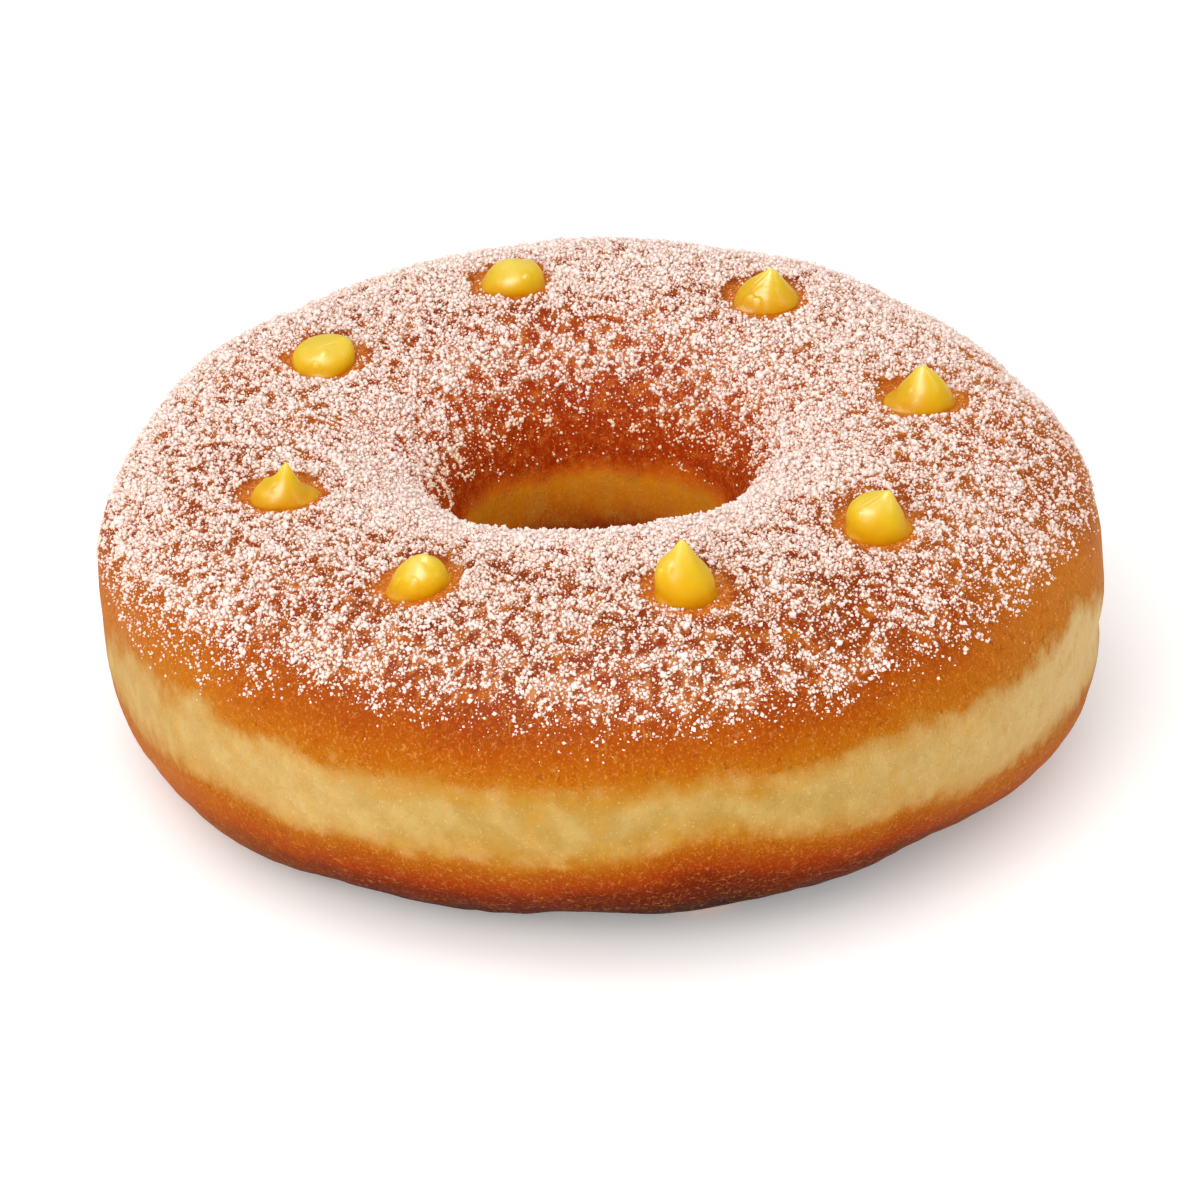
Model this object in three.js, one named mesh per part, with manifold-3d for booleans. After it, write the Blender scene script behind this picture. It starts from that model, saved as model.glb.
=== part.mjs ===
import * as THREE from "three";
import { mergeVertices } from "three/addons/utils/BufferGeometryUtils.js";
import Module from "manifold-3d";

// Sugared ring doughnut with eight drops of custard piped on its crown.
// Millimetres, +Z up. The origin is the middle of the foot, on the table, and -Y is the front.
// An angle "around" goes about Z from +X. An angle "across" goes about the section of the ring:
// 0 at the outer waist, 90 at the crest, 180 at the waist of the hole, 270 on the table.

const wasm = await Module();
wasm.setup();

const turn = 2 * Math.PI;

// The dough ring.
const outerRadius = 48;
const holeRadius = 12.7;
const crestRadius = 28.2;
const crestHeight = 31.4;
const waistHeight = 17.1;
const footDepth = 0.4; // what the table would cut off a fully round bottom
const aroundSteps = 72;
const acrossSteps = 32;

// How square each quarter of the section is: 2 is an ellipse.
const upperOuterPower = 2.6;
const upperInnerPower = 2.45;
const lowerInnerPower = 2.3;
const lowerOuterPower = 3.1;
const lowerOuterToBack = 0.43;
const lowerOuterToSides = 0.36;
const lowerOuterToLeft = 0.34;

// How uneven the ring is.
const holeToBack = 1.25;
const crestToBack = 0.8;
const crestRiseToRight = 0.44;
const crestSagAtSides = 1.04;
const ovalAcrossDiagonal = 1.27;
const ovalToBack = 0.24;
const swellHeight = 0.16;
const swells = [
  { around: 5, across: 1, shift: 0.4 },
  { around: 8, across: -2, shift: 2.1 },
  { around: 13, across: 3, shift: 4.4 },
];

// The custard drops. Angles are in degrees, and a tip's place is a share of the drop's radius.
const drops = [
  { angle: 103.1, out: 31.26, radius: 2.95, dome: 2.25, power: 2.2,
    tip: 0.12, spread: 0.25, tipX: -0.05, tipY: 0.15 },
  { angle: 55.2, out: 30.5, radius: 3.05, dome: 2.1, power: 2.2,
    tip: 1.35, spread: 0.46, tipX: 0.17, tipY: 0.05 },
  { angle: 143.8, out: 31.72, radius: 3.05, dome: 2.3, power: 2.6,
    tip: 0.22, spread: 0.25, tipX: 0.68, tipY: 0.15 },
  { angle: 9.7, out: 31.93, radius: 2.9, dome: 3.0, power: 2.15,
    tip: 1.1, spread: 0.36, tipX: -0.04, tipY: 0 },
  { angle: -167.0, out: 30.41, radius: 2.65, dome: 2.25, power: 2.4,
    tip: 1.65, spread: 0.4, tipX: 0.32, tipY: 0 },
  { angle: -37.6, out: 32.82, radius: 2.85, dome: 3.5, power: 2.5,
    tip: 0.6, spread: 0.26, tipX: 0.44, tipY: 0.1 },
  { angle: -121.3, out: 32.06, radius: 2.7, dome: 2.65, power: 2.3,
    tip: 0.25, spread: 0.3, tipX: 0.1, tipY: 0.2 },
  { angle: -76.4, out: 33.45, radius: 2.8, dome: 4.4, power: 2.6,
    tip: 1.15, spread: 0.25, tipX: -0.04, tipY: 0 },
];
const tipPower = 1.5;
const leanOfDome = 0.5;
const dropSides = 20;
const dropRings = 7;
const dropEmbed = 0.6;
const gap = 0.3;
const pitSides = 24;
const dimpleDepth = 0.5;
const dimpleRadius = 4.6;
const halvings = 40; // for finding the crown above a place on the table

// The largest lumps of sugar, spread by two even sequences and then shaken a little.
const lumpTries = 140;
const lumpShake = THREE.MathUtils.degToRad(9);
const lumpRadius = 0.72;
const lumpGrowth = 0.5;
const lumpFlatness = 0.62;
const lumpStandOff = 0.12;
const lumpToCustard = 1.0;
const sugarOuterEdge = THREE.MathUtils.degToRad(36);
const sugarInnerEdge = THREE.MathUtils.degToRad(152);
const aroundStride = 0.7548776662;
const acrossStride = 0.5698402910;
const sizeStride = 0.6180339887;
const turnStride = 0.4142135624;
const indexStride = 12.9898;
const saltStride = 78.233;
const farDigits = 43758.5453;

const doughMaterial = new THREE.MeshStandardMaterial({
  color: 0xbe5a14,
  roughness: 0.6,
  metalness: 0,
});
const custardMaterial = new THREE.MeshStandardMaterial({
  color: 0xf2b90c,
  roughness: 0.2,
  metalness: 0,
});

const fraction = (value) => value - Math.floor(value);

// A fixed draw between -1 and 1 for each index and salt: the far digits of a sine.
function shaken(index, salt) {
  return 2 * fraction(Math.sin(index * indexStride + salt * saltStride) * farDigits) - 1;
}

// Each drop's middle on the table.
for (const drop of drops) {
  const angle = THREE.MathUtils.degToRad(drop.angle);
  drop.x = drop.out * Math.cos(angle);
  drop.y = drop.out * Math.sin(angle);
}

// How far the soft dimples round the drops lower the crown above a place on the table.
function dimple(x, y) {
  let depth = 0;
  for (const drop of drops) {
    const distance = Math.hypot(x - drop.x, y - drop.y) / dimpleRadius;
    depth += dimpleDepth * Math.exp(-(distance ** 4));
  }
  return depth;
}

// The sum of a few waves that run about the ring. They fade towards the hole.
function swell(around, across) {
  let height = 0;
  for (const wave of swells) {
    height += swellHeight * Math.sin(wave.around * around + wave.across * across + wave.shift);
  }
  return height;
}

// The squareness of the section at an angle across it.
function sectionPower(around, across) {
  const upper = Math.sin(across) >= 0;
  const outer = Math.cos(across) >= 0;
  if (upper) {
    return outer ? upperOuterPower : upperInnerPower;
  }
  if (!outer) {
    return lowerInnerPower;
  }
  return (
    lowerOuterPower +
    lowerOuterToBack * Math.sin(around) +
    lowerOuterToSides * Math.cos(2 * around) -
    lowerOuterToLeft * Math.cos(around)
  );
}

// A place on the dough. The section is four quarters of superellipses, |x/a|^n + |z/b|^n = 1,
// that meet at the crest and at the two waists.
function doughPoint(around, across) {
  const cosine = Math.cos(across);
  const sine = Math.sin(across);
  const power = sectionPower(around, across);
  const length = (Math.abs(cosine) ** power + Math.abs(sine) ** power) ** (-1 / power);
  const crest = crestRadius + crestToBack * Math.sin(around);
  const outside =
    outerRadius -
    ovalAcrossDiagonal * Math.sin(2 * around) -
    ovalToBack * Math.cos(2 * around);
  const hole = holeRadius + holeToBack * Math.sin(around);
  const top =
    crestHeight +
    crestRiseToRight * Math.cos(around) -
    crestSagAtSides * Math.cos(2 * around);
  const halfWidth = cosine >= 0 ? outside - crest : crest - hole;
  const halfHeight = sine >= 0 ? top - waistHeight : waistHeight + footDepth;
  const plainRadius = crest + halfWidth * length * cosine;
  const bulge = swell(around, across) * (plainRadius / outerRadius);
  const radius = plainRadius + bulge * cosine;
  const x = radius * Math.cos(around);
  const y = radius * Math.sin(around);
  const sunk = sine > 0 ? dimple(x, y) : 0;
  const z = waistHeight + (halfHeight * length + bulge) * sine - sunk;
  return new THREE.Vector3(x, y, Math.max(0, z));
}

// The place of the crown at a distance from the axis, found by halving the angle across.
function crownPoint(around, distance) {
  let low = 0;
  let high = Math.PI;
  let point = new THREE.Vector3();
  for (let halving = 0; halving < halvings; halving += 1) {
    const middle = (low + high) / 2;
    point = doughPoint(around, middle);
    if (Math.hypot(point.x, point.y) > distance) {
      low = middle;
    } else {
      high = middle;
    }
  }
  return point;
}

// The direction in which the dough faces, from two short steps along its surface.
function doughNormal(around, across) {
  const step = 0.01;
  const along = doughPoint(around + step, across).sub(doughPoint(around - step, across));
  const over = doughPoint(around, across + step).sub(doughPoint(around, across - step));
  return along.cross(over).normalize();
}

// Joins a geometry's shared corners into one closed skin.
function closed(geometry) {
  geometry.deleteAttribute("normal");
  geometry.deleteAttribute("uv");
  return mergeVertices(geometry);
}

function toSolid(geometry) {
  const skin = closed(geometry);
  return new wasm.Manifold(
    new wasm.Mesh({
      numProp: 3,
      vertProperties: skin.attributes.position.array,
      triVerts: new Uint32Array(skin.index.array),
    }),
  );
}

function toGeometry(solid) {
  const skin = solid.getMesh();
  const geometry = new THREE.BufferGeometry();
  geometry.setAttribute("position", new THREE.BufferAttribute(skin.vertProperties, 3));
  geometry.setIndex(new THREE.BufferAttribute(skin.triVerts, 1));
  geometry.computeVertexNormals();
  return geometry;
}

// The plain ring: a torus whose corners are moved to the dough's surface.
function makeRing() {
  const geometry = new THREE.TorusGeometry(crestRadius, waistHeight, acrossSteps, aroundSteps);
  const position = geometry.attributes.position;
  const uv = geometry.attributes.uv;
  for (let corner = 0; corner < position.count; corner += 1) {
    const point = doughPoint(uv.getX(corner) * turn, uv.getY(corner) * turn);
    position.setXYZ(corner, point.x, point.y, point.z);
  }
  return toSolid(geometry);
}

// The shallow flat-bottomed pit that a drop stands in.
function makePit(drop) {
  const depth = 4 * dropEmbed;
  const radius = drop.radius + gap;
  const geometry = new THREE.CylinderGeometry(radius, radius, depth, pitSides);
  geometry.rotateX(turn / 4);
  geometry.translate(drop.x, drop.y, drop.foot - gap + depth / 2);
  return toSolid(geometry);
}

// A drop: a round dome that leans to a pulled tip off its middle. Its height above the rim is
// dome * (1 - s^n)^(1/n) + tip * exp(-d^m), with s the share of the radius from the middle and
// d the distance from the tip over the tip's spread. The tip's part fades out at the rim.
function makeDrop(drop) {
  const profile = [new THREE.Vector2(0, 0), new THREE.Vector2(1, 0)];
  for (let ring = dropRings; ring >= 0; ring -= 1) {
    const share = Math.sin((ring / dropRings) * (turn / 4));
    profile.push(new THREE.Vector2(share, 1));
  }
  const geometry = new THREE.LatheGeometry(profile, dropSides);
  geometry.rotateX(turn / 4);
  const position = geometry.attributes.position;
  for (let corner = 0; corner < position.count; corner += 1) {
    const share = Math.hypot(position.getX(corner), position.getY(corner));
    const onTop = position.getZ(corner) > 0.5;
    const slide = onTop ? 1 - share : 0;
    const x = position.getX(corner) + slide * drop.tipX;
    const y = position.getY(corner) + slide * drop.tipY;
    const lean = leanOfDome * (1 - share ** 2);
    const fromMiddle = Math.min(1, Math.hypot(x - lean * drop.tipX, y - lean * drop.tipY));
    const fromTip = Math.hypot(x - drop.tipX, y - drop.tipY) / drop.spread;
    const dome = drop.dome * (1 - fromMiddle ** drop.power) ** (1 / drop.power);
    const tip = drop.tip * Math.exp(-(fromTip ** tipPower)) * (1 - share ** 4);
    const height = onTop ? dropEmbed + dome + tip : 0;
    position.setXYZ(corner, x * drop.radius, y * drop.radius, height);
  }
  geometry.translate(drop.x, drop.y, drop.foot);
  return toGeometry(toSolid(geometry));
}

// The lumps of sugar: flattened, turned icosahedra that are half sunk in the dough.
function makeLumps() {
  const lumps = [];
  for (let index = 1; index <= lumpTries; index += 1) {
    const around = turn * fraction(index * aroundStride) + lumpShake * shaken(index, 1);
    const share = fraction(index * acrossStride);
    const across =
      sugarOuterEdge + (sugarInnerEdge - sugarOuterEdge) * share + lumpShake * shaken(index, 2);
    const radius = lumpRadius + lumpGrowth * fraction(index * sizeStride) ** 2;
    const middle = doughPoint(around, across);
    const room = (drop) =>
      Math.hypot(middle.x - drop.x, middle.y - drop.y) - drop.radius - radius;
    if (drops.some((drop) => room(drop) < lumpToCustard)) {
      continue;
    }
    const normal = doughNormal(around, across);
    const geometry = new THREE.IcosahedronGeometry(radius, 0);
    geometry.rotateX(turn * fraction(index * turnStride));
    geometry.rotateZ(turn * fraction(index * sizeStride));
    geometry.scale(1, 1, lumpFlatness);
    const upright = new THREE.Quaternion().setFromUnitVectors(
      new THREE.Vector3(0, 0, 1),
      normal,
    );
    geometry.applyQuaternion(upright);
    middle.addScaledVector(normal, lumpStandOff * radius);
    geometry.translate(middle.x, middle.y, middle.z);
    lumps.push(toSolid(geometry));
  }
  return lumps;
}

for (const drop of drops) {
  const angle = THREE.MathUtils.degToRad(drop.angle);
  drop.foot = crownPoint(angle, drop.out).z - dropEmbed;
}

const doughnut = new THREE.Group();

let dough = makeRing();
for (const drop of drops) {
  dough = dough.subtract(makePit(drop));
}
dough = wasm.Manifold.union([dough, ...makeLumps()]);
const doughMesh = new THREE.Mesh(toGeometry(dough), doughMaterial);
doughMesh.name = "doughnut";
doughnut.add(doughMesh);

drops.forEach((drop, index) => {
  const mesh = new THREE.Mesh(makeDrop(drop), custardMaterial);
  mesh.name = "custard_" + (index + 1);
  doughnut.add(mesh);
});

export default doughnut;
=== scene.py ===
import math

import bpy
import numpy as np
from mathutils import Matrix, Vector


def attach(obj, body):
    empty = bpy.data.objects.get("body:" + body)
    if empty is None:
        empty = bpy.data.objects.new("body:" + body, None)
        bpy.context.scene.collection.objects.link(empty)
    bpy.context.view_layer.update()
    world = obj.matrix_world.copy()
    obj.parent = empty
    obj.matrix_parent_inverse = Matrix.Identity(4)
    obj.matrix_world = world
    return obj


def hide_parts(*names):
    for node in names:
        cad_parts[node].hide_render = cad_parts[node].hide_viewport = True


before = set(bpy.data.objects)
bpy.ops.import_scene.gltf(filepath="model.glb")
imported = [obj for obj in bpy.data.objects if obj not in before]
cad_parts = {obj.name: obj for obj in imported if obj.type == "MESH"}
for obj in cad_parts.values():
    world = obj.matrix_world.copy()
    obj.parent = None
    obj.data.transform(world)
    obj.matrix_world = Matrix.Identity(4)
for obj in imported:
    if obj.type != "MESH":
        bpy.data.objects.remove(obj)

# A sugared ring doughnut with custard drops. Lengths are in millimetres until a mesh is written.
# "around" is the angle about Z from +X, "across" the angle about the ring's section:
# 0 at the outer waist, 90 at the crest, 180 at the waist of the hole, 270 on the table.
mm = 0.001
turn = 2 * math.pi
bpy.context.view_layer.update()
print("frame loaded,", len(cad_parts), "nodes")


# Tools for shapes

scatter = {
    # large numbers that scatter the bits of a place and of its seed, and the bits that are kept
    "x": 73856093, "y": 19349663, "z": 83492791, "seed": 2654435761, "again": 1274126177,
    "kept": 0x7FFFFFFF, "finest": 0xFFFFFF,
    # how the cells are turned: radians for each seed, and the cosine and sine of a tilt
    "seedTurn": 1.7, "tiltCosine": 0.8, "tiltSine": 0.6,
}


def draw(x, y, z, seed):
    # one fixed number from 0 to 1 for each whole-number place: its parts are mixed as bits
    mixed = x * scatter["x"] ^ y * scatter["y"] ^ z * scatter["z"] ^ seed * scatter["seed"]
    mixed = (mixed ^ (mixed >> 13)) * scatter["again"] & scatter["kept"]
    return ((mixed ^ (mixed >> 16)) & scatter["finest"]) / float(scatter["finest"])


def softNoise(points, cell, seed):
    # smooth heights from -1 to 1: the draws at the eight corners of a cell, blended by smoothstep.
    # The cells are turned by the seed, so that no two noises line up
    cosine, sine = math.cos(seed * scatter["seedTurn"]), math.sin(seed * scatter["seedTurn"])
    tiltCosine, tiltSine = scatter["tiltCosine"], scatter["tiltSine"]
    x = points[..., 0] * cosine - points[..., 1] * sine
    y = points[..., 0] * sine + points[..., 1] * cosine
    z = points[..., 2]
    place = np.stack([x, y * tiltCosine - z * tiltSine, y * tiltSine + z * tiltCosine], axis=-1) / cell
    corner = np.floor(place).astype(np.int64)
    part = place - corner
    part = part * part * (3 - 2 * part)
    total = 0
    for dx in (0, 1):
        for dy in (0, 1):
            for dz in (0, 1):
                weight = (
                    np.where(dx, part[..., 0], 1 - part[..., 0])
                    * np.where(dy, part[..., 1], 1 - part[..., 1])
                    * np.where(dz, part[..., 2], 1 - part[..., 2])
                )
                at = (corner[..., 0] + dx, corner[..., 1] + dy, corner[..., 2] + dz)
                total = total + weight * draw(*at, seed)
    return 2 * total - 1


def smoothStep(low, high, value):
    # 0 below low, 1 above high, and a smooth rise between them
    share = np.clip((value - low) / (high - low), 0, 1)
    return share * share * (3 - 2 * share)


def ringFaces(rows, columns):
    # the four-cornered faces of a grid that closes on itself both ways, row by row
    row, column = np.meshgrid(np.arange(rows), np.arange(columns), indexing="ij")
    nextRow, nextColumn = (row + 1) % rows, (column + 1) % columns
    corners = (row * columns + column, nextRow * columns + column,
               nextRow * columns + nextColumn, row * columns + nextColumn)
    return np.stack(corners, axis=-1).reshape(-1, 4)


def inScene(name, data):
    made = bpy.data.objects.new(name, data)
    bpy.context.scene.collection.objects.link(made)
    return made


def newPiece(name, points, faceSets, material):
    # points in millimetres become a mesh in metres, from lists of faces of equal length
    mesh = bpy.data.meshes.new(name)
    mesh.vertices.add(len(points))
    mesh.vertices.foreach_set("co", (points * mm).astype(np.float32).ravel())
    corners = np.concatenate([faces.ravel() for faces in faceSets])
    lengths = np.concatenate([np.full(len(faces), faces.shape[1]) for faces in faceSets])
    starts = np.concatenate([[0], np.cumsum(lengths)[:-1]])
    mesh.loops.add(len(corners))
    mesh.loops.foreach_set("vertex_index", corners.astype(np.int32))
    mesh.polygons.add(len(lengths))
    mesh.polygons.foreach_set("loop_start", starts.astype(np.int32))
    mesh.update(calc_edges=True)
    mesh.validate()
    mesh.shade_smooth()
    mesh.materials.append(material)
    piece = inScene(name, mesh)
    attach(piece, "root")
    return piece


# Tools for materials

def mathNode(operation, swapped=False):
    # the method of an operator: it adds a Math node
    def method(self, other):
        values = (other, self) if swapped else (self, other)
        return self.look.node("ShaderNodeMath", {"operation": operation}, dict(enumerate(values)))
    return method


class Value:
    # a socket that does sums
    def __init__(self, look, socket):
        self.look, self.socket = look, socket

    __add__ = __radd__ = mathNode("ADD")
    __sub__ = mathNode("SUBTRACT")
    __rsub__ = mathNode("SUBTRACT", True)
    __mul__ = __rmul__ = mathNode("MULTIPLY")
    __truediv__ = mathNode("DIVIDE")
    __rtruediv__ = mathNode("DIVIDE", True)
    __pow__ = mathNode("POWER")

    def rise(self, low, high):
        # 0 below low, 1 above high, smooth between
        settings = {"interpolation_type": "SMOOTHSTEP"}
        return self.look.node("ShaderNodeMapRange", settings, {0: self, 1: low, 2: high, 3: 0.0, 4: 1.0})


class Look:
    # a material and its nodes
    def __init__(self, name):
        self.material = bpy.data.materials.new(name)
        self.material.use_nodes = True
        self.tree = self.material.node_tree
        self.tree.nodes.clear()

    def node(self, kind, settings=None, sockets=None, output=0):
        made = self.tree.nodes.new(kind)
        for name, value in (settings or {}).items():
            if name == "stops":
                self.setStops(made.color_ramp, value)
            else:
                setattr(made, name, value)
        for name, value in (sockets or {}).items():
            if isinstance(value, Value):
                self.tree.links.new(value.socket, made.inputs[name])
            else:
                made.inputs[name].default_value = value
        return Value(self, made.outputs[output])

    def setStops(self, ramp, stops):
        for position, colour in stops[1:-1]:
            ramp.elements.new(position)
        for element, (position, colour) in zip(ramp.elements, stops):
            element.position, element.color = position, paint(colour)

    def place(self):
        # the object's own coordinates, as a vector in millimetres
        here = self.node("ShaderNodeTexCoord", None, None, "Object")
        return self.node("ShaderNodeVectorMath", {"operation": "SCALE"}, {0: here, "Scale": 1 / mm})

    def parts(self, vector):
        split = self.tree.nodes.new("ShaderNodeSeparateXYZ")
        self.tree.links.new(vector.socket, split.inputs[0])
        return [Value(self, out) for out in split.outputs]

    def join(self, x, y, z):
        return self.node("ShaderNodeCombineXYZ", None, {0: x, 1: y, 2: z})

    def noise(self, vector, size, detail, rough):
        # size is the width of a blotch in the vector's own units
        sockets = {"Vector": vector, "Scale": 1 / size, "Detail": detail, "Roughness": rough}
        return self.node("ShaderNodeTexNoise", None, sockets, "Fac")

    def ramp(self, share, stops):
        return self.node("ShaderNodeValToRGB", {"stops": stops}, {0: share}, "Color")

    def mix(self, share, first, second):
        first = first if isinstance(first, Value) else paint(first)
        second = second if isinstance(second, Value) else paint(second)
        return self.node("ShaderNodeMix", {"data_type": "RGBA"}, {0: share, 6: first, 7: second}, 2)

    def written(self, name):
        # a number written on the mesh's vertices by numpy
        return self.node("ShaderNodeAttribute", {"attribute_name": name}, None, "Fac")

    def bump(self, height, distance, strength):
        # distance is the bump's depth in millimetres
        sockets = {"Strength": strength, "Distance": distance * mm, "Height": height}
        return self.node("ShaderNodeBump", None, sockets, "Normal")

    def finish(self, sockets):
        shader = self.node("ShaderNodeBsdfPrincipled", None, sockets)
        end = self.tree.nodes.new("ShaderNodeOutputMaterial")
        self.tree.links.new(shader.socket, end.inputs["Surface"])
        return self.material


def paint(colour):
    # screen colour, three numbers from 0 to 255, to the linear one that Blender works in
    shares = [part / 255 for part in colour]
    linear = [s / 12.92 if s <= 0.04045 else ((s + 0.055) / 1.055) ** 2.4 for s in shares]
    return (*linear, 1.0)


# The dough

dough = {
    "outerRadius": 48.0,
    "holeRadius": 12.7,
    "crestRadius": 28.2,  # where the ring is highest
    "crestHeight": 31.4,
    "waistHeight": 17.1,
    "footDepth": 0.4,
    "aroundSteps": 560,
    "acrossSteps": 176,
    "reliefs": ((4.5, 0.10), (1.7, 0.045)),  # width and height of the uneven skin's bumps
    "footRelief": (2.0, 0.14, 7.0),  # width and height of the rougher skin low down, and how far up
    "footSeed": 5,
    "calmBelow": 1.0,  # under this height the bumps fade out
    "groove": (-10, 16, 0.65, 12.3, 2.2),  # degrees around and wide, depth, height, half its height
}
power = {  # how square each quarter of the section is, 2 being an ellipse
    "upperOuter": 2.6,
    "upperInner": 2.45,
    "lowerInner": 2.3,
    "lowerOuter": 3.1,
    "lowerOuterToBack": 0.43,
    "lowerOuterToSides": 0.36,
    "lowerOuterToLeft": 0.34,
    # where the lower outer quarter is squarer or rounder: degrees around, degrees wide, change
    "lowerOuterBends": ((-115, 16, -0.15), (-78, 10, 0.15), (-50, 12, -0.25), (-17, 9, 0.35)),
}
uneven = {
    "holeToBack": 1.25,
    "crestToBack": 0.8,
    "crestRiseToRight": 0.44,
    "crestSagAtSides": 1.04,
    "ovalAcrossDiagonal": 1.27,
    "ovalToBack": 0.24,
    "swellHeight": 0.16,
    "swells": ((5, 1, 0.4), (8, -2, 2.1), (13, 3, 4.4)),  # around, across, shift
    # where the outside is drawn in: degrees around, degrees wide, millimetres
    "dents": ((178, 30, -0.35), (-50, 16, -0.6), (-114, 20, -0.4)),
}
drops = {  # place and height in degrees and millimetres; the rest in degrees and shares of the radius
    # flanks: degrees, width, change of the dome's power there, less being a straighter slope
    "custard_1": {
        "angle": 103.1, "out": 31.26, "radius": 2.95, "dome": 2.0, "domePower": 2.2, "lift": 0.25,
        "tip": 0.12, "spread": 0.25, "tipX": -0.05, "tipY": 0.15, "lean": 0.5,
        "flanks": ((185, 60, -0.7), (0, 50, 0.3)), "skirts": ((330, 30, 0.3), (190, 40, 0.3)),
        "beads": ((0.5, -0.6, 0.14, 0.22), (0.66, 0.5, 0.2, 0.15)), "ripples": (),
    },
    "custard_2": {
        "angle": 55.2, "out": 30.5, "radius": 3.05, "dome": 2.3, "domePower": 1.6, "lift": 0.2,
        "tip": 0.95, "spread": 0.4, "tipX": 0.17, "tipY": 0.05, "lean": 0.6,
        "flanks": ((0, 60, -0.45),), "skirts": ((215, 30, 0.6),),
        "beads": ((-0.62, -0.66, 0.22, 0.3), (-0.35, -0.82, 0.16, 0.3)),
        "ripples": ((-0.2, -0.05, 20, 0.16, 0.3, 0.05), (0.05, -0.5, -8, 0.3, 0.3, 0.05)),
    },
    "custard_3": {
        "angle": 143.8, "out": 31.72, "radius": 3.05, "dome": 1.95, "domePower": 2.25, "lift": 0.25,
        "tip": 0.2, "spread": 0.2, "tipX": 0.7, "tipY": 0.15, "lean": 0.15,
        "flanks": ((0, 40, 0.3),), "skirts": ((265, 30, 0.4),),
        "beads": ((0.05, -0.55, 0.12, 0.12), (-0.25, -0.97, 0.16, 0.25)),
        "ripples": ((0.2, -0.1, 25, 0.2, 0.24, 0.04),),
    },
    "custard_4": {
        "angle": 9.7, "out": 31.93, "radius": 2.95, "dome": 3.2, "domePower": 1.6, "lift": 0.25,
        "tip": 0.65, "spread": 0.3, "tipX": 0.04, "tipY": 0.0, "lean": 0.5,
        "flanks": ((180, 60, -0.45),), "skirts": ((185, 45, 0.8), (0, 30, 0.25)),
        "beads": ((-0.45, -0.5, 0.08, 0.1),), "ripples": (),
    },
    "custard_5": {
        "angle": -167.0, "out": 30.41, "radius": 2.65, "dome": 1.65, "domePower": 1.9, "lift": 0.3,
        "tip": 1.95, "spread": 0.34, "tipX": 0.26, "tipY": 0.0, "lean": 0.2,
        "flanks": ((0, 60, -0.7),), "skirts": ((0, 50, 1.0), (200, 40, 0.3)),
        "beads": ((-0.5, 0.3, 0.14, 0.2), (-0.2, -0.6, 0.1, 0.1)), "ripples": (),
    },
    "custard_6": {
        "angle": -37.6, "out": 32.82, "radius": 2.85, "dome": 3.0, "domePower": 2.2, "lift": 0.5,
        "tip": 0.6, "spread": 0.26, "tipX": 0.44, "tipY": 0.1, "lean": 0.4,
        "flanks": ((180, 60, 0.4), (5, 50, -0.9)), "skirts": ((5, 35, 0.6), (215, 25, 0.4)),
        "beads": ((-0.62, -0.62, 0.16, 0.2), (0.8, 0.1, 0.14, 0.15)),
        "ripples": ((-0.15, -0.1, 35, 0.18, 0.26, 0.05),),
    },
    "custard_7": {
        "angle": -121.3, "out": 32.06, "radius": 2.7, "dome": 2.3, "domePower": 2.0, "lift": 0.35,
        "tip": 0.25, "spread": 0.3, "tipX": 0.1, "tipY": 0.2, "lean": 0.5,
        "flanks": ((185, 55, -0.4),), "skirts": ((205, 35, 0.6), (10, 30, 0.4)),
        "beads": ((-0.82, -0.4, 0.16, 0.2), (-0.2, -0.88, 0.2, 0.2), (0.34, 0.1, 0.24, 0.16)),
        "ripples": ((0.3, 0.1, -50, 0.5, 0.35, 0.06),),
    },
    "custard_8": {
        "angle": -76.4, "out": 33.45, "radius": 2.8, "dome": 2.75, "domePower": 2.3, "lift": 0.95,
        "tip": 1.85, "spread": 0.37, "tipX": -0.04, "tipY": 0.0, "lean": 0.5,
        "flanks": ((180, 50, 0.4), (0, 55, -0.8)), "skirts": ((215, 25, 0.5), (0, 35, 0.3)),
        "beads": ((-0.9, -0.42, 0.16, 0.4), (-0.55, -0.5, 0.16, 0.15)), "ripples": (),
    },
}
dimple = {"depth": 0.5, "radius": 4.6, "glossTo": 3.2, "glossFadedAt": 5.2}


def dropPlaces():
    # where the drops stand, as one row of x and y for each
    angles = np.radians([drop["angle"] for drop in drops.values()])
    outs = np.array([drop["out"] for drop in drops.values()])
    return np.stack([outs * np.cos(angles), outs * np.sin(angles)], axis=-1)


def dimpleDepth(x, y):
    # a flat-bottomed bell round every drop: depth * exp(-(distance / radius)^4)
    depth = 0
    for dropX, dropY in dropPlaces():
        distance = np.hypot(x - dropX, y - dropY) / dimple["radius"]
        depth = depth + dimple["depth"] * np.exp(-(distance ** 4))
    return depth


def dropNearness(point):
    # 1 beside a drop, 0 past the bare, glossier dough round it
    nearness = 0
    for dropX, dropY in dropPlaces():
        distance = np.hypot(point[..., 0] - dropX, point[..., 1] - dropY)
        nearness = np.maximum(nearness, 1 - smoothStep(dimple["glossTo"], dimple["glossFadedAt"], distance))
    return nearness


def degreesAway(around, middle):
    # from -180 to 180
    return (np.degrees(around) - middle + 180) % 360 - 180


def bends(around, places):
    # bells added up: height * exp(-(degrees away / width)^2)
    total = 0
    for middle, width, height in places:
        total = total + height * np.exp(-((degreesAway(around, middle) / width) ** 2))
    return total


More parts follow.
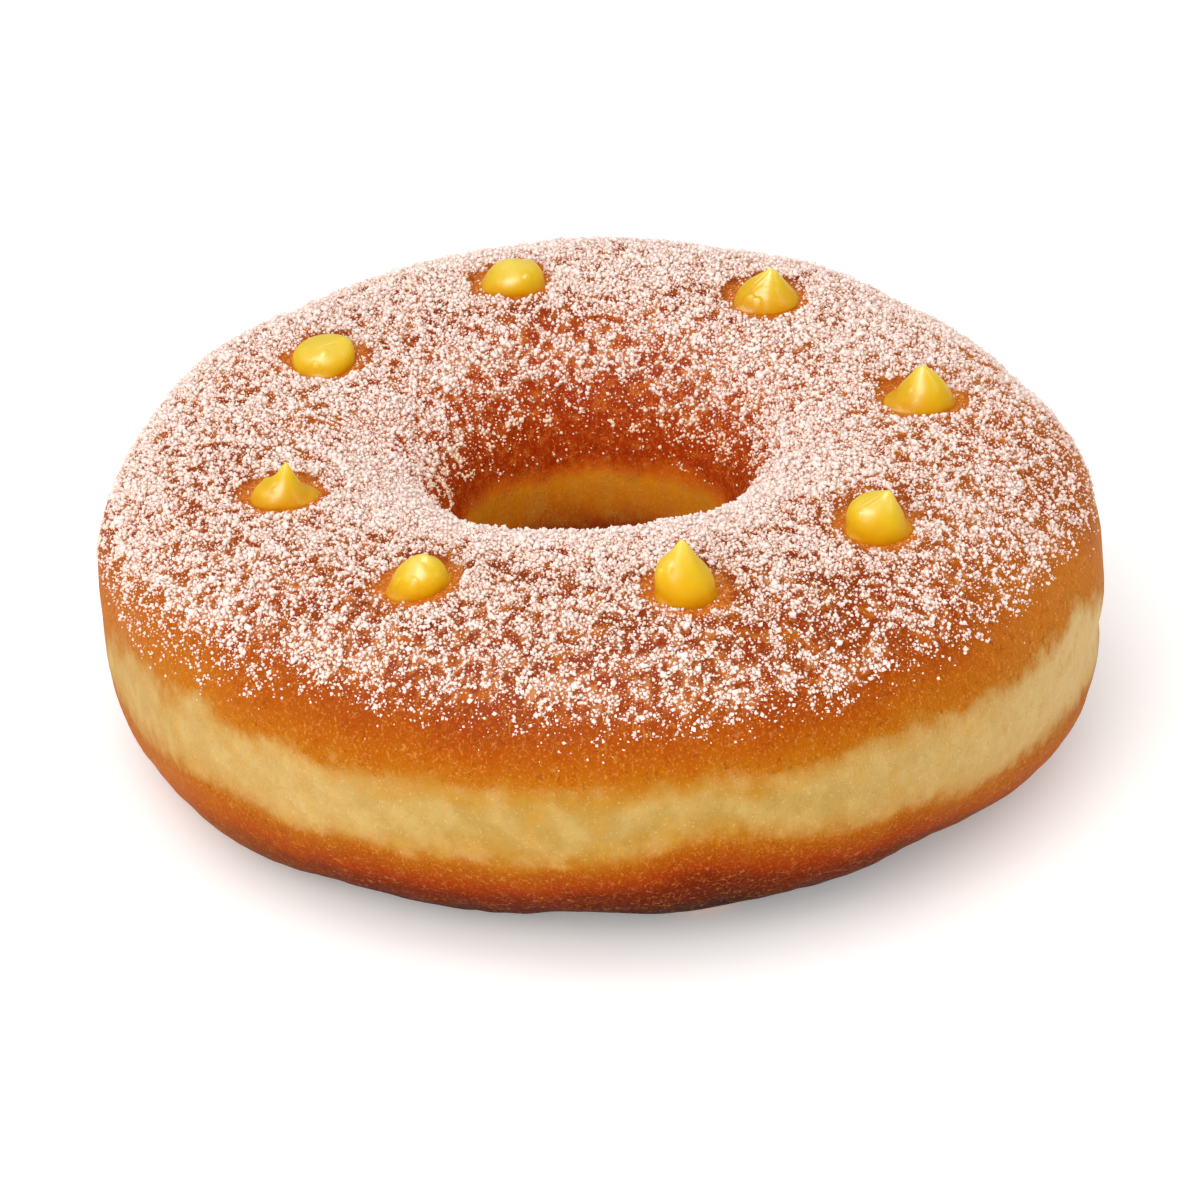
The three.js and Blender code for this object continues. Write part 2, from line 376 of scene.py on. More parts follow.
def sectionPower(around, across):
    # the power n of each quarter; the lower outer one changes with the angle round the ring, by
    # a sine, a cosine, a cosine of twice the angle, and bells
    low = (power["lowerOuter"] + power["lowerOuterToBack"] * np.sin(around)
           + power["lowerOuterToSides"] * np.cos(2 * around)
           - power["lowerOuterToLeft"] * np.cos(around) + bends(around, power["lowerOuterBends"]))
    upper = np.where(np.cos(across) >= 0, power["upperOuter"], power["upperInner"])
    lower = np.where(np.cos(across) >= 0, low, power["lowerInner"])
    return np.where(np.sin(across) >= 0, upper, lower)


def plainDough(around, across):
    # four quarters of superellipses, |x/a|^n + |z/b|^n = 1, joined at the crest and the waists
    cosine, sine = np.cos(across), np.sin(across)
    bent = sectionPower(around, across)
    length = (np.abs(cosine) ** bent + np.abs(sine) ** bent) ** (-1 / bent)
    crest = dough["crestRadius"] + uneven["crestToBack"] * np.sin(around)
    outside = (dough["outerRadius"] - uneven["ovalAcrossDiagonal"] * np.sin(2 * around)
               - uneven["ovalToBack"] * np.cos(2 * around) + bends(around, uneven["dents"]))
    hole = dough["holeRadius"] + uneven["holeToBack"] * np.sin(around)
    top = (dough["crestHeight"] + uneven["crestRiseToRight"] * np.cos(around)
           - uneven["crestSagAtSides"] * np.cos(2 * around))
    halfWidth = np.where(cosine >= 0, outside - crest, crest - hole)
    waist = dough["waistHeight"]
    halfHeight = np.where(sine >= 0, top - waist, waist + dough["footDepth"])
    plainRadius = crest + halfWidth * length * cosine
    swell = 0
    for times, over, shift in uneven["swells"]:
        swell = swell + uneven["swellHeight"] * np.sin(times * around + over * across + shift)
    swell = swell * plainRadius / dough["outerRadius"]
    radius = plainRadius + swell * cosine
    x, y = radius * np.cos(around), radius * np.sin(around)
    z = waist + (halfHeight * length + swell) * sine - np.where(sine > 0, dimpleDepth(x, y), 0)
    return np.stack([x, y, np.maximum(z, 0)], axis=-1)


def slopes(surface, around, across, step=0.004):
    # how the surface moves for each angle, and the way it faces
    along = (surface(around + step, across) - surface(around - step, across)) / (2 * step)
    over = (surface(around, across + step) - surface(around, across - step)) / (2 * step)
    normal = np.cross(along, over)
    return along, over, normal / np.linalg.norm(normal, axis=-1, keepdims=True)


def doughSurface(around, across):
    # the plain dough pushed out by the skin's own soft bumps, but not under the foot, and pressed in
    # along the groove: depth * exp(-(degrees away / width)^2 - (height away / half height)^2)
    point = plainDough(around, across)
    normal = slopes(plainDough, around, across)[2]
    height = 0
    for seed, (width, size) in enumerate(dough["reliefs"]):
        height = height + size * softNoise(point, width, seed + 1)
    width, size, reach = dough["footRelief"]
    up = point[..., 2]
    height = height + size * softNoise(point, width, dough["footSeed"]) * np.exp(-((up / reach) ** 2))
    middle, wide, depth, level, high = dough["groove"]
    groove = bends(around, ((middle, wide, depth),)) * np.exp(-(((up - level) / high) ** 2))
    height = height - groove * smoothStep(-0.2, 0.2, np.cos(across))  # on the outer side alone
    height = height * smoothStep(0.0, dough["calmBelow"], up)
    return point + height[..., None] * normal


band = {  # the pale ring that stood out of the oil, heights of its edges in millimetres
    "outerTop": 20.4,
    "outerBottom": 11.2,
    "innerTop": 20.0,
    "innerBottom": 13.8,
    # where an edge rises or sinks: degrees around, degrees wide, millimetres
    "topBends": ((178, 14, -6.0), (-160, 18, -2.7), (-112, 20, -0.9), (-103, 8, -0.9), (-36, 16, -0.6),
                 (-8, 10, -5.0), (28, 16, 1.6), (75, 25, -1.2), (140, 16, 1.3)),
    "bottomBends": ((-164, 10, -2.5), (-146, 10, 1.0), (-78, 13, 3.3), (-56, 7, 0.8), (-30, 16, -0.6),
                    (-14, 9, -1.8), (35, 14, 1.4), (110, 20, -1.3), (155, 12, 1.0)),
}


def bandDistances(around, across, point):
    # how far above the pale ring's upper edge a place is, and how far below the lower edge
    outward = smoothStep(-0.35, 0.35, np.cos(across))
    top = band["innerTop"] + (band["outerTop"] - band["innerTop"]) * outward
    bottom = band["innerBottom"] + (band["outerBottom"] - band["innerBottom"]) * outward
    top = top + bends(around, band["topBends"]) * outward
    bottom = bottom + bends(around, band["bottomBends"]) * outward
    return point[..., 2] - top, bottom - point[..., 2]


def writeNumbers(piece, name, values):
    # a number for each vertex, that the material reads by name
    numbers = piece.data.attributes.new(name, "FLOAT", "POINT")
    numbers.data.foreach_set("value", values.astype(np.float32).ravel())


def makeDough(material):
    # the dough on a grid of both angles, with the numbers that its material reads
    around = np.linspace(0, turn, dough["aroundSteps"], endpoint=False)
    across = np.linspace(0, turn, dough["acrossSteps"], endpoint=False)
    around, across = np.meshgrid(around, across, indexing="ij")
    points = doughSurface(around, across)
    faces = ringFaces(dough["aroundSteps"], dough["acrossSteps"])
    piece = newPiece("doughRing", points.reshape(-1, 3), [faces], material)
    above, below = bandDistances(around, across, points)
    writeNumbers(piece, "aboveBand", above)
    writeNumbers(piece, "belowBand", below)
    cover = sugarCover(around, across, points)
    thick = netRank(points) - (1 - cover)  # above 0 where grains hang together
    writeNumbers(piece, "underSugar", smoothStep(0.02, 0.3, thick) * smoothStep(0.2, 0.5, cover))
    writeNumbers(piece, "nearDrop", dropNearness(points))
    writeNumbers(piece, "inHole", smoothStep(0.0, 0.5, -np.cos(across)))
    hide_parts("doughnut")


crust = {
    # noises: width of a blotch, detail, roughness
    "noises": {"blotch": (8.0, 3.0, 0.5), "mottle": (2.2, 3.0, 0.6), "fine": (0.7, 3.0, 0.7),
               "grit": (0.28, 2.0, 0.6), "soft": (2.8, 2.0, 0.5), "rough": (0.9, 3.0, 0.65),
               "curl": (0.8, 1.0, 0.5)},
    "fibre": (0.45, 3.0, 0.6),
    "squeeze": 0.35,  # of the height for the fibres, so that they climb the sides
    # how far each noise moves the ring's upper edge, in millimetres, and the lower edge's share of it
    "wander": {"blotch": 4.5, "mottle": 2.4, "fine": 0.9, "fibre": 1.0},
    "wanderBelow": 0.7,
    "slowAbove": 0.35,  # how much more slowly the ring turns to crust at the sides
    "slowBelow": 0.3,
    # colours from the pale ring into the crust, over this many millimetres, with its edge at a share
    "reach": 14.0,
    "edge": 0.2,
    "upper": [(0.0, (168, 134, 66)), (0.12, (171, 123, 42)), (0.22, (168, 101, 14)), (0.32, (165, 88, 7)),
              (0.45, (160, 74, 5)), (0.62, (147, 60, 6)), (1.0, (126, 45, 7))],
    # the lower colours end near black at the table: the crust's own brown and painted shade under the ring
    "lower": [(0.0, (168, 134, 66)), (0.12, (168, 120, 42)), (0.21, (163, 97, 13)), (0.3, (153, 77, 7)),
              (0.44, (141, 50, 4)), (0.57, (102, 29, 3)), (0.92, (38, 8, 2))],
    # colours up the wall of the hole, from this height and over this many millimetres
    "holeFrom": 9.5,
    "holeReach": 20.0,
    "holeWander": 0.8,
    "hole": [(0.09, (104, 30, 7)), (0.21, (156, 59, 10)), (0.28, (190, 99, 12)), (0.34, (211, 123, 12)),
             (0.46, (217, 137, 16)), (0.52, (205, 94, 6)), (0.59, (166, 52, 4)), (1.0, (150, 46, 6))],
    # tints laid over one another: where, how strong, the colour, and for most a noise and the two
    # values of it between which the tint comes in
    "ringTints": (
        ("paler", 0.5, (192, 160, 101)),
        ("palerRight", 0.8, (205, 173, 119)),
        ("gilded", 1.0, (207, 130, 40)),
    ),
    "skinTints": (
        ("crown", 0.5, (145, 43, 4), "blotch", 0.42, 0.62),
        ("crown", 0.4, (208, 118, 22), "mottle", 0.5, 0.66),
        ("nearDrop", 0.85, (204, 110, 28)),
        ("outerRing", 0.3, (210, 184, 122), "soft", 0.35, 0.75),
        ("ring", 0.38, (186, 138, 52), "mottle", 0.5, 0.7),
        ("ring", 0.16, (186, 132, 52), "fibre", 0.4, 0.7),
        ("outerRing", 0.22, (230, 208, 158), "grit", 0.6, 0.72),
        ("crust", 0.6, (126, 46, 8), "fine", 0.51, 0.76),
        ("holeWall", 0.45, (214, 112, 30), "rough", 0.5, 0.7),
        ("holeWall", 0.45, (110, 28, 4), "rough", 0.48, 0.28),
        ("holeRing", 0.25, (230, 176, 72), "grit", 0.58, 0.68),
        ("highCrust", 0.45, (214, 138, 56), "grit", 0.56, 0.68),
        ("highCrust", 0.3, (214, 146, 62), "fibre", 0.6, 0.72),
        ("powder", 1.0, (238, 171, 108)),
        ("nearDrop", 0.7, (236, 168, 88), "grit", 0.54, 0.62),
        ("strokes", 1.0, (224, 158, 82)),
    ),
    "strokeWidth": 0.0012,  # the square of how far the noise may be from its middle
    "relief": {"fibre": 0.35, "mottle": 0.8, "fine": 0.45, "grit": 0.12},  # shares of the bump
    "strokeRelief": 0.2,
    "bumpDepth": 0.25,
    "bumpStrength": 0.8,
}


def crustLook():
    # a colour by how far a place is past the pale ring's edges, which noises move, and then tints
    # mixed in one by one, each by place * strength * rise of its noise
    look = Look("friedCrust")
    place = look.place()
    x, y, z = look.parts(place)
    distance = (x * x + y * y) ** 0.5
    outer = dough["outerRadius"]
    noises = {name: look.noise(place, *size) for name, size in crust["noises"].items()}
    upright = look.join(x / distance * outer, y / distance * outer, z * crust["squeeze"])
    noises["fibre"] = look.noise(upright, *crust["fibre"])
    wander = sum((noises[name] - 0.5) * size for name, size in crust["wander"].items())
    sides = (x * x / (distance * distance)).rise(0.25, 0.9)
    rightSide = (x / distance).rise(0.6, 0.97)
    awayFromFront = (y / distance).rise(-0.98, -0.8)
    above = look.written("aboveBand") * (1 - sides * crust["slowAbove"]) + wander
    below = look.written("belowBand") * (1 - sides * crust["slowBelow"]) - wander * crust["wanderBelow"]
    inHole, nearDrop = look.written("inHole"), look.written("nearDrop")
    ring = (1 - above.rise(-0.5, 1.0)) * (1 - below.rise(-0.5, 1.0))
    besideRing = above.rise(-1.0, 2.0) * (1 - above.rise(3.0, 7.0)) + below.rise(0.0, 2.0)
    paler = awayFromFront * (1 - above.rise(-1.5, 1.0)) * (1 - below.rise(-1.5, 1.0))
    # fine curling strokes, where a noise passes its middle
    fromMiddle = noises["curl"] - 0.5
    stroke = ((crust["strokeWidth"] - fromMiddle * fromMiddle).rise(0.0, crust["strokeWidth"])
              * noises["rough"].rise(0.46, 0.58))
    places = {
        "paler": paler,  # the pale ring away from the front
        "palerRight": paler * rightSide,
        "gilded": sides * besideRing * 0.25 + rightSide * above.rise(0.0, 3.0) * 0.2,
        "crown": above.rise(4.0, 8.0),
        "nearDrop": nearDrop,
        "ring": ring,
        "outerRing": ring * (1 - inHole * 0.85),
        "holeRing": ring * inHole,
        "holeWall": inHole * above.rise(0.0, 1.5),
        "crust": 1 - ring,
        "highCrust": (1 - below.rise(0.5, 4.0) * 0.6) * (1 - ring),
        "powder": look.written("underSugar") * (0.45 + (noises["fine"] - 0.5) * 0.8),  # left by the grains
        "strokes": stroke * (1 - ring * 0.5) * (0.24 + rightSide * 0.2),
    }

    def tinted(colour, tints):
        for where, strength, shade, *drawn in tints:
            mask = places[where] * strength
            if drawn:
                name, low, high = drawn
                mask = mask * noises[name].rise(low, high)
            colour = look.mix(mask, colour, shade)
        return colour

    upper = look.ramp(above / crust["reach"] + crust["edge"], crust["upper"])
    # below the ring the colours darken into painted shade towards the table
    lower = look.ramp(below / crust["reach"] + crust["edge"], crust["lower"])
    colour = tinted(look.mix((below - above).rise(-0.5, 0.5), upper, lower), crust["ringTints"])
    upHole = (z + wander * crust["holeWander"] - crust["holeFrom"]) / crust["holeReach"]
    colour = tinted(look.mix(inHole, colour, look.ramp(upHole, crust["hole"])), crust["skinTints"])
    height = sum(noises[name] * size for name, size in crust["relief"].items())
    height = height + stroke * crust["strokeRelief"]
    return look.finish({
        "Base Color": colour, "Roughness": 0.42 + noises["mottle"] * 0.2, "Specular IOR Level": 0.015,
        "Coat Weight": nearDrop * 0.06, "Coat Roughness": 0.25,
        "Normal": look.bump(height, crust["bumpDepth"], crust["bumpStrength"]),
    })


# The custard

custard = {
    "sides": 96,
    "rings": 64,
    "tipPower": 1.5,
    "sunk": 0.8,  # how far the drop goes down into its dimple
    "tuck": 0.08,  # share of the radius that it draws in, and more for each millimetre of lift
    "tuckForLift": 0.14,
    "skirtHeight": 0.4,
    "waves": ((2.4, 0.14), (1.1, 0.05)),  # width and height of its own soft unevenness
    "waveSeed": 61,
    "waveFade": (0.1, 0.5),  # shares of a drop's height between which the waves grow
    "halvings": 40,  # to find the dough's height
    "cloud": (2.5, 2.0, 0.5),  # width of a blotch, detail, roughness
    # colours from the dough up: deeper low down, a painted shade, and paler on top, a painted light
    "shadedToLitYellows": [(0.0, (205, 138, 0)), (0.3, (211, 161, 0)), (0.65, (216, 179, 20)), (1.0, (225, 198, 82))],
    "seeThrough": (0.002, 0.0015, 0.0003),  # metres that red, green and blue light go inside
}


def dropSurface(name, sideAngle, down):
    # a dome and a pulled tip: dome * (1 - s^n)^(1/n) + tip * exp(-(d / spread)^m), where s is the
    # share of the radius from the middle, that leans to the tip, and d the distance from the tip
    drop = drops[name]
    tipX, tipY = drop["tipX"], drop["tipY"]
    share = np.sin(np.minimum(down, 1) * turn / 4)
    x = share * np.cos(sideAngle) + (1 - share) * tipX
    y = share * np.sin(sideAngle) + (1 - share) * tipY
    lean = drop["lean"] * (1 - share ** 2)
    fromMiddle = np.minimum(1, np.hypot(x - lean * tipX, y - lean * tipY))
    fromTip = np.hypot(x - tipX, y - tipY) / drop["spread"]
    bent = drop["domePower"] + smoothStep(0, 0.6, share) * bends(sideAngle, drop["flanks"])
    height = (drop["dome"] * (1 - fromMiddle ** bent) ** (1 / bent)
              + drop["tip"] * np.exp(-(fromTip ** custard["tipPower"])) * (1 - share ** 4))
    for beadX, beadY, size, rise in drop["beads"]:
        height = height + rise * np.exp(-((np.hypot(x - beadX, y - beadY) / size) ** 4))
    for middleX, middleY, degrees, spacing, extent, rise in drop["ripples"]:
        slant = math.radians(degrees)
        along = (y - middleY) * math.cos(slant) - (x - middleX) * math.sin(slant)
        fade = np.exp(-((np.hypot(x - middleX, y - middleY) / extent) ** 2))
        height = height + rise * fade * np.cos(turn * along / spacing)
    # under its waist the drop draws in, and near the dough a skirt of thin custard runs out
    below = np.maximum(down - 1, 0)
    height = height + drop["lift"] - (drop["lift"] + custard["sunk"]) * np.sin(below * turn / 4)
    inward = (custard["tuck"] + custard["tuckForLift"] * drop["lift"]) * (1 - np.cos(below * turn / 4))
    nearDough = np.exp(-((np.maximum(height, 0) / custard["skirtHeight"]) ** 2))
    wide = drop["radius"] * (1 - inward) + bends(sideAngle, drop["skirts"]) * nearDough * share ** 4
    return np.stack([x * wide, y * wide, height], axis=-1)


def crownHeight(x, y):
    # the dough's height under places, by halving the angle across until the distance fits
    around, distance = np.arctan2(y, x), np.hypot(x, y)
    low, high = np.zeros_like(around), np.full_like(around, math.pi)
    for halving in range(custard["halvings"]):
        middle = (low + high) / 2
        point = plainDough(around, middle)
        outside = np.hypot(point[..., 0], point[..., 1]) > distance
        low, high = np.where(outside, middle, low), np.where(outside, high, middle)
    return point[..., 2]


def makeDrop(name, material):
    # rings of points from the top down to the foot, closed by a cap and a base
    drop = drops[name]
    angle, out = math.radians(drop["angle"]), drop["out"]
    centreX, centreY = out * math.cos(angle), out * math.sin(angle)
    side = np.linspace(0, turn, custard["sides"], endpoint=False)
    down = np.linspace(0, 2, custard["rings"] + 1)[1:]
    downGrid, sideGrid = np.meshgrid(down, side, indexing="ij")
    rows = dropSurface(name, sideGrid, downGrid).reshape(-1, 3)
    top = dropSurface(name, np.zeros(1), np.zeros(1))
    foot = rows[-len(side):].mean(axis=0, keepdims=True)
    points = np.concatenate([rows, top, foot])
    upDrop = points[:, 2] / (drop["dome"] + drop["tip"] + drop["lift"])
    points[:, :2] += (centreX, centreY)
    points[:, 2] += crownHeight(points[:, 0], points[:, 1])
    wave = 0
    for seed, (width, size) in enumerate(custard["waves"]):
        wave = wave + size * softNoise(points, width, custard["waveSeed"] + seed)
    points[:, 2] += wave * smoothStep(*custard["waveFade"], upDrop)
    sides, last = len(side), (len(down) - 1) * len(side)
    skin = ringFaces(len(down), sides)[:-sides]  # without the row that would close the drop on itself
    first = np.arange(sides)
    after = (first + 1) % sides
    cap = np.stack([np.full(sides, len(rows)), first, after], axis=-1)
    base = np.stack([np.full(sides, len(rows) + 1), last + after, last + first], axis=-1)
    piece = newPiece(name.replace("_", "Drop"), points, [skin, cap, base], material)
    writeNumbers(piece, "upDrop", upDrop)
    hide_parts(name)


def custardLook():
    # a ramp of yellows up the drop, painted shade low down and painted light on top, moved by a soft cloud
    look = Look("glossyCustard")
    place = look.place()
    cloud = look.noise(place, *custard["cloud"])
    up = look.written("upDrop") + (cloud - 0.5) * 0.5
    return look.finish({
        "Base Color": look.ramp(up, custard["shadedToLitYellows"]), "Roughness": 0.28 + cloud * 0.16,
        "Normal": look.bump(cloud, 0.2, 0.25), "Subsurface Weight": 0.5,
        "Subsurface Radius": custard["seeThrough"], "Subsurface Scale": 1.0, "IOR": 1.4,
        "Specular IOR Level": 0.18,
    })


# The sugar

dusting = {
    # the share of the dough hidden, by degrees across: for the front and sides, and for the back
    "across": (18, 27, 31, 37, 45, 53, 61, 75, 90, 101, 109, 117, 125, 133, 141, 149, 157),
    "near": (0, 0.06, 0.18, 0.44, 0.52, 0.51, 0.53, 0.58, 0.70, 0.85, 0.92, 0.94, 0.95, 0.86, 0.50, 0.16,
             0),
    "back": (0, 0.10, 0.24, 0.48, 0.63, 0.74, 0.83, 0.85, 0.83, 0.77, 0.73, 0.74, 0.66, 0.57, 0.48, 0.30,
             0.07),
    # denser and barer patches: degrees around and across, both widths, share added
    "patches": (
        (185, 36, 24, 20, 0.40), (-60, 54, 12, 16, -0.16), (-120, 35, 12, 9, -0.06), (-27, 78, 5, 8, -0.35),
        (100, 110, 13, 13, -0.36), (40, 108, 16, 12, -0.04), (85, 138, 14, 9, -0.18), (150, 141, 16, 6, 0.20),
        (-20, 40, 14, 9, 0.12), (110, 62, 18, 9, 0.12), (10, 97, 14, 10, 0.14), (45, 122, 18, 10, 0.26),
        (60, 139, 10, 7, 0.20), (130, 120, 16, 9, 0.20), (155, 115, 14, 10, 0.20), (-170, 90, 16, 10, -0.28),
        (180, 68, 12, 8, -0.12), (-140, 61, 9, 6, 0.22), (-120, 61, 9, 6, -0.14), (0, 45, 10, 6, -0.12),
        (-24, 29, 18, 5, -0.12), (2, 27, 12, 9, 0.14), (20, 141, 12, 7, -0.20), (0, 149, 12, 6, -0.25),
        (180, 143, 10, 7, -0.25), (-120, 104, 12, 7, 0.15), (62, 108, 10, 10, 0.16), (140, 112, 12, 7, 0.14),
        (-37, 93, 6, 9, -0.40),
    ),
    "patchWidth": 6.0,
    "patchShare": 0.16,
    "bareRadius": 4.25,  # of the dough left bare round a drop
    "bareFade": 0.35,
    "bareToBack": 0.5,  # how far its middle is from the drop's
    "bareWobble": 1.0,  # how far its edge wanders, and how wide a wave of it is
    "wobbleWidth": 1.6,
    "bareRest": 0.1,  # share of the sugar that stays even there
    "most": 0.98,  # the thickest sugar hides this share of the dough
    # the net that the grains follow: curling lines and blotches, width and weight of each
    "curls": ((1.15, 1.0), (0.95, 0.85)),
    "curlThickness": 0.22,
    "blotches": ((0.45, 0.4), (0.9, 0.4), (2.2, 0.22), (4.5, 0.1)),
    "netSample": 100000,  # places that the net's ranks are worked out from
    "netFade": 0.04,  # how softly the net's edge ends
    "thinFade": 0.12,  # under this share hidden the grains thin out
    "lowest": 8,  # degrees across between which grains may lie
    "deepest": 165,
    "fullArea": 1000.0,  # square millimetres for a radian each way: there every place drawn may stay
    "drawn": 80000,  # places drawn at a time
    "seeds": {"patch": 33, "bare": 35, "blotch": 41, "curl": 51, "sample": 10},
}
sugarKinds = {  # grains of a kind, their size, how many lie off the net, how high they pile
    "sugarDust": {"corners": 4, "grains": 49000, "size": 0.1, "spread": 0.35, "pile": 0.02, "seed": 11},
    "sugarFlecks": {"corners": 4, "grains": 49000, "size": 0.13, "spread": 0.25, "pile": 0.04, "seed": 12},
    # these three share out the beads, the last ones lying where the net is thickest
    "sugarGrains": {"corners": 6, "beads": 0, "size": 0.18, "pile": 0.06, "seed": 13},
    "sugarClumps": {"corners": 6, "beads": 1, "size": 0.195, "pile": 0.16, "seed": 14},
    "sugarHeaps": {"corners": 6, "beads": 2, "size": 0.215, "pile": 0.36, "seed": 15},
}
beads = {
    "pieces": 3,
    "mostInPiece": 24400,
    "gap": 0.32,  # the least from one to the next
    "rounds": 5,
    "drawn": 160000,  # places drawn in a round
    "offNet": 0.25,
    "seed": 16,
    "sortingBlur": 0.15,
}
grain = {
    "alone": 0.6,  # the share of its kind's size that a grain has alone, and what it gains in a heap
    "heapGain": 0.5,
    "heapFrom": (-0.15, 0.25),  # how far above the net's edge it begins to gain, and has it all
    "stands": 0.4,  # how far its middle is over the skin, as a share of its size
    "heapRange": (0.2, 1.2),  # of the pile's height
    "sizeSpread": 0.25,
    "sizeRange": (0.6, 1.8),
    "stretch": (0.7, 1.3),  # along each axis, and then each corner on its own
    "cornerShift": (0.75, 1.25),
    "clearOfDrops": 0.1,
}
blocks = {  # corners and faces of the two crystals
    4: (((0.7, 0.7, 0.7), (0.7, -0.7, -0.7), (-0.7, 0.7, -0.7), (-0.7, -0.7, 0.7)),
        ((0, 2, 1), (0, 1, 3), (0, 3, 2), (1, 2, 3))),
    6: (((1, 0, 0), (-1, 0, 0), (0, 1, 0), (0, -1, 0), (0, 0, 1), (0, 0, -1)),
        ((0, 2, 4), (2, 1, 4), (1, 3, 4), (3, 0, 4), (2, 0, 5), (1, 2, 5), (3, 1, 5), (0, 3, 5))),
}


def sugarCover(around, across, point):
    # the share of the dough that sugar hides: read by the angle across, bent by the patches and
    # by a soft noise, and next to nothing round the drops
    degrees = np.degrees(across)
    near = np.interp(degrees, dusting["across"], dusting["near"])
    back = np.interp(degrees, dusting["across"], dusting["back"])
    cover = near + (back - near) * smoothStep(0.1, 0.7, np.sin(around))
    soft = smoothStep(0, 0.4, cover)
    for patchAround, patchAcross, wide, high, share in dusting["patches"]:
        away = degreesAway(around, patchAround) / wide
        cover = cover + share * np.exp(-(away ** 2) - ((degrees - patchAcross) / high) ** 2)
    uneven = softNoise(point, dusting["patchWidth"], dusting["seeds"]["patch"])
    cover = cover + dusting["patchShare"] * soft * uneven
    wobble = dusting["bareWobble"] * softNoise(point, dusting["wobbleWidth"], dusting["seeds"]["bare"])
    edge, fade, rest = dusting["bareRadius"], dusting["bareFade"], dusting["bareRest"]
    for dropX, dropY in dropPlaces():
        distance = np.hypot(point[..., 0] - dropX, point[..., 1] - dropY - dusting["bareToBack"]) + wobble
        cover = cover * (rest + (1 - rest) * smoothStep(edge - fade, edge + fade, distance))
    return np.clip(cover, 0, dusting["most"])


def sugarNet(point):
    # where grains hang together: exp(-(noise / thickness)^2) draws a curling line where the noise
    # passes nought; the stronger line counts, and blotches break it up
    lines = 0
    for seed, (width, weight) in enumerate(dusting["curls"]):
        curl = softNoise(point, width, dusting["seeds"]["curl"] + seed)
        lines = np.maximum(lines, weight * np.exp(-((curl / dusting["curlThickness"]) ** 2)))
    for seed, (width, weight) in enumerate(dusting["blotches"]):
        lines = lines + weight * softNoise(point, width, dusting["seeds"]["blotch"] + seed)
    return lines


def skinPlaces(random, count):
    # places drawn by their angles, with the point and how much skin a step of the angles covers there
    around = random.uniform(0, turn, count)
    across = random.uniform(math.radians(dusting["lowest"]), math.radians(dusting["deepest"]), count)
    along, over = slopes(plainDough, around, across)[:2]
    area = np.linalg.norm(np.cross(along, over), axis=-1)
    return around, across, plainDough(around, across), area / dusting["fullArea"]


def netRank(point):
    # the share of the skin where the net is weaker than here
    return np.searchsorted(netLevels, sugarNet(point)) / len(netLevels)


sampleRandom = np.random.default_rng(dusting["seeds"]["sample"])
netLevels = np.sort(sugarNet(skinPlaces(sampleRandom, dusting["netSample"])[2]))


def netPlaces(random, count, offNet):
    # places drawn over the skin, each kept by its area and by the net: its rank there among all
    # places has to be above the share that stays bare
    around, across, point, area = skinPlaces(random, count)
    cover = sugarCover(around, across, point)
    above = netRank(point) - (1 - cover)
    net = smoothStep(-dusting["netFade"], dusting["netFade"], above) * (1 - offNet) + offNet * cover
    wanted = random.uniform(0, 1, count) < net * smoothStep(0.0, dusting["thinFade"], cover) * area
    return np.stack([around, across, above], axis=-1)[wanted]


def sugarStarts(random, kind):
    # places for the grains of one kind, drawn until there are enough
    kept = []
    while sum(len(places) for places in kept) < kind["grains"]:
        kept.append(netPlaces(random, dusting["drawn"], kind["spread"]))
    return np.concatenate(kept)[:kind["grains"]]


def spacedOut(points, gap):
    # the numbers of the points that stay when no two may be nearer than the gap: the later one
    # of two goes. Cells of gap / sqrt(3) hold one point each, and are compared two cells around
    cells = np.floor(points * math.sqrt(3) / gap).astype(np.int64)
    step = np.array([1, 2000, 4000000])  # makes one number of a cell's three, with room for each
    keys, first = np.unique((cells - cells.min(axis=0)) @ step, return_index=True)
    stays = np.ones(len(keys), bool)
    cellsAround = np.meshgrid(*[np.arange(-2, 3)] * 3, indexing="ij")
    offsets = np.stack(cellsAround, axis=-1).reshape(-1, 3) @ step
    for offset in offsets[offsets > 0]:
        spot = np.minimum(np.searchsorted(keys, keys + offset), len(keys) - 1)
        one = np.flatnonzero(keys[spot] == keys + offset)
        other = spot[one]
        near = np.linalg.norm(points[first[one]] - points[first[other]], axis=-1) < gap
        later = np.where(first[one] > first[other], one, other)[near]
        stays[later] = False
    return np.sort(first[stays])


def beadStarts():
    # round after round, newly drawn places fill the room that the ones before have left
    random = np.random.default_rng(beads["seed"])
    kept = np.zeros((0, 3))
    for fill in range(beads["rounds"]):
        kept = np.concatenate([kept, netPlaces(random, beads["drawn"], beads["offNet"])])
        kept = kept[spacedOut(plainDough(kept[:, 0], kept[:, 1]), beads["gap"])]
    kept = random.permutation(kept)[:beads["pieces"] * beads["mostInPiece"]]
    print("sugar beads:", len(kept))
    thickness = kept[:, 2] + random.normal(0, beads["sortingBlur"], len(kept))
    return np.array_split(kept[np.argsort(thickness)], beads["pieces"])


